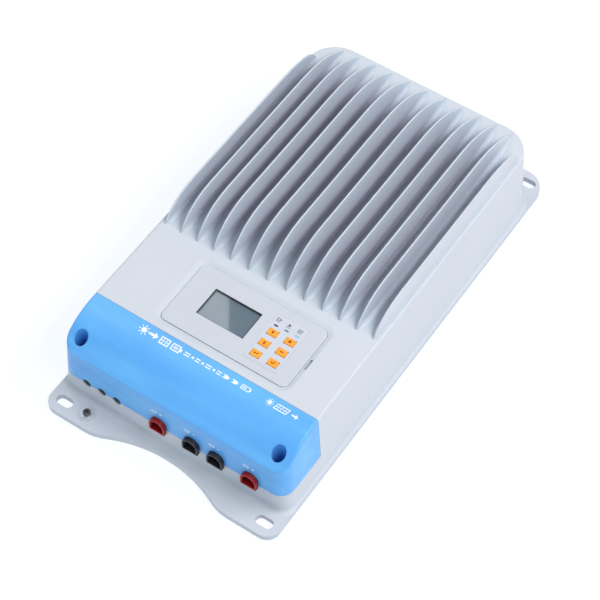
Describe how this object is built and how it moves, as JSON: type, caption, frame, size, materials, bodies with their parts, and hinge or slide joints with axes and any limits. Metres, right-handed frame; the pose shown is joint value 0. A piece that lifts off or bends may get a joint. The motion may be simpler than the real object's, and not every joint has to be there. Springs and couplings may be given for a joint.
{
  "type": "solar charge controller",
  "caption": "Wall-mounted solar charge controller: finned die-cast grey housing on a slotted flange, blue lift-off terminal cover with cable sleeves, display window and orange keys.",
  "frame": {"origin": "centre of the footprint rectangle, on the back face that lies against the wall", "axes": "+Z out of the front of the unit away from the wall, +Y along the unit from the cable end towards the finned top end, +X across the unit to the right when seen from the front with the cable end down"},
  "size_m": [0.231, 0.44, 0.112],
  "materials": {
    "housing_casting": "die-cast aluminium under a pale grey powder coat, fine satin texture",
    "cover_blue": "blue moulded plastic, satin gloss",
    "panel_grey": "pale grey moulded plastic, satin",
    "film_grey": "printed polyester film, satin",
    "key_orange": "orange silicone-coated keys, satin",
    "black_foam": "black foam surround",
    "clear_window": "clear acrylic window",
    "lcd_glass": "grey-blue reflective liquid crystal glass",
    "light_pipe": "translucent lens",
    "led_body": "moulded diode",
    "sleeve_red": "dark red moulded rubber, satin",
    "sleeve_black": "black moulded rubber, satin",
    "seal_rubber": "soft black seal",
    "steel_zinc": "bright zinc plated",
    "screw_dark": "dark passivated zinc",
    "steel_plate": "galvanised sheet",
    "brass": "nickel-plated brass",
    "board_green": "solder mask",
    "terminal_green": "black glass-filled nylon",
    "connector_dark": "moulded connector",
    "sensor_green": "green pluggable terminal",
    "partition": "insulating sheet",
    "ferrite": "coated powder core",
    "copper_winding": "enamelled copper wire",
    "capacitor_sleeve": "shrink sleeve",
    "chip_black": "moulded package",
    "membrane_rubber": "soft dark rubber, slit for a thin cable",
    "pad_pink": "thermal interface pad",
    "shunt": "manganin strip",
    "fuse": "moulded fuse",
    "relay": "moulded relay case",
    "ribbon": "flat grey ribbon",
    "dome": "silicone dome"
  },
  "bodies": {
    "housing": {"heatsink_housing": "housing_casting", "pv_positive_sleeve": "sleeve_red", "pv_negative_sleeve": "sleeve_black", "battery_negative_sleeve": "sleeve_black", "battery_positive_sleeve": "sleeve_red", "port_membranes": "membrane_rubber", "ground_washer": "steel_zinc", "ground_screw": "screw_dark", "back_plate": "steel_plate", "back_plate_screws": "steel_zinc", "back_plate_gasket": "seal_rubber", "display_bezel": "panel_grey", "lcd_surround": "black_foam", "display_window": "clear_window", "lcd_module": "lcd_glass", "keypad_overlay": "film_grey", "key_switches": "chip_black", "key_return_domes": "dome", "led_light_pipes": "light_pipe", "indicator_leds": "led_body", "display_pcb": "board_green", "display_screws": "steel_zinc", "main_pcb": "board_green", "main_pcb_screws": "steel_zinc", "power_terminal_block": "terminal_green", "terminal_cages": "brass", "terminal_clamp_screws": "steel_zinc", "bay_partition": "partition", "communication_port": "connector_dark", "sensor_terminals": "sensor_green", "inductor_cores": "ferrite", "inductor_windings": "copper_winding", "bulk_capacitors": "capacitor_sleeve", "power_transistors": "chip_black", "thermal_pad": "pad_pink", "transistor_clamp_bar": "steel_plate", "clamp_bar_screws": "steel_zinc", "control_chips": "chip_black", "current_shunt": "shunt", "board_fuses": "fuse", "relays": "relay", "ribbon_connectors": "connector_dark", "display_ribbon": "ribbon"},
    "cover": {"terminal_cover": "cover_blue", "terminal_cover_screws": "steel_zinc"},
    "key_left_rear_body": {"key_left_rear": "key_orange"},
    "key_left_middle_body": {"key_left_middle": "key_orange"},
    "key_left_front_body": {"key_left_front": "key_orange"},
    "key_right_rear_body": {"key_right_rear": "key_orange"},
    "key_right_middle_body": {"key_right_middle": "key_orange"},
    "key_right_front_body": {"key_right_front": "key_orange"}
  },
  "joints": [
    {"name": "cover_lift", "type": "slide", "parent": "housing", "child": "cover", "axis": [0, 0, 1], "range_m": [0, 0.075]},
    {"name": "key_left_rear_press", "type": "slide", "parent": "housing", "child": "key_left_rear_body", "axis": [0, 0, -1], "range_m": [0, 0.0005], "stiffness_N_per_m": 1200, "springref_m": -0.0001},
    {"name": "key_left_middle_press", "type": "slide", "parent": "housing", "child": "key_left_middle_body", "axis": [0, 0, -1], "range_m": [0, 0.0005], "stiffness_N_per_m": 1200, "springref_m": -0.0001},
    {"name": "key_left_front_press", "type": "slide", "parent": "housing", "child": "key_left_front_body", "axis": [0, 0, -1], "range_m": [0, 0.0005], "stiffness_N_per_m": 1200, "springref_m": -0.0001},
    {"name": "key_right_rear_press", "type": "slide", "parent": "housing", "child": "key_right_rear_body", "axis": [0, 0, -1], "range_m": [0, 0.0005], "stiffness_N_per_m": 1200, "springref_m": -0.0001},
    {"name": "key_right_middle_press", "type": "slide", "parent": "housing", "child": "key_right_middle_body", "axis": [0, 0, -1], "range_m": [0, 0.0005], "stiffness_N_per_m": 1200, "springref_m": -0.0001},
    {"name": "key_right_front_press", "type": "slide", "parent": "housing", "child": "key_right_front_body", "axis": [0, 0, -1], "range_m": [0, 0.0005], "stiffness_N_per_m": 1200, "springref_m": -0.0001}
  ]
}
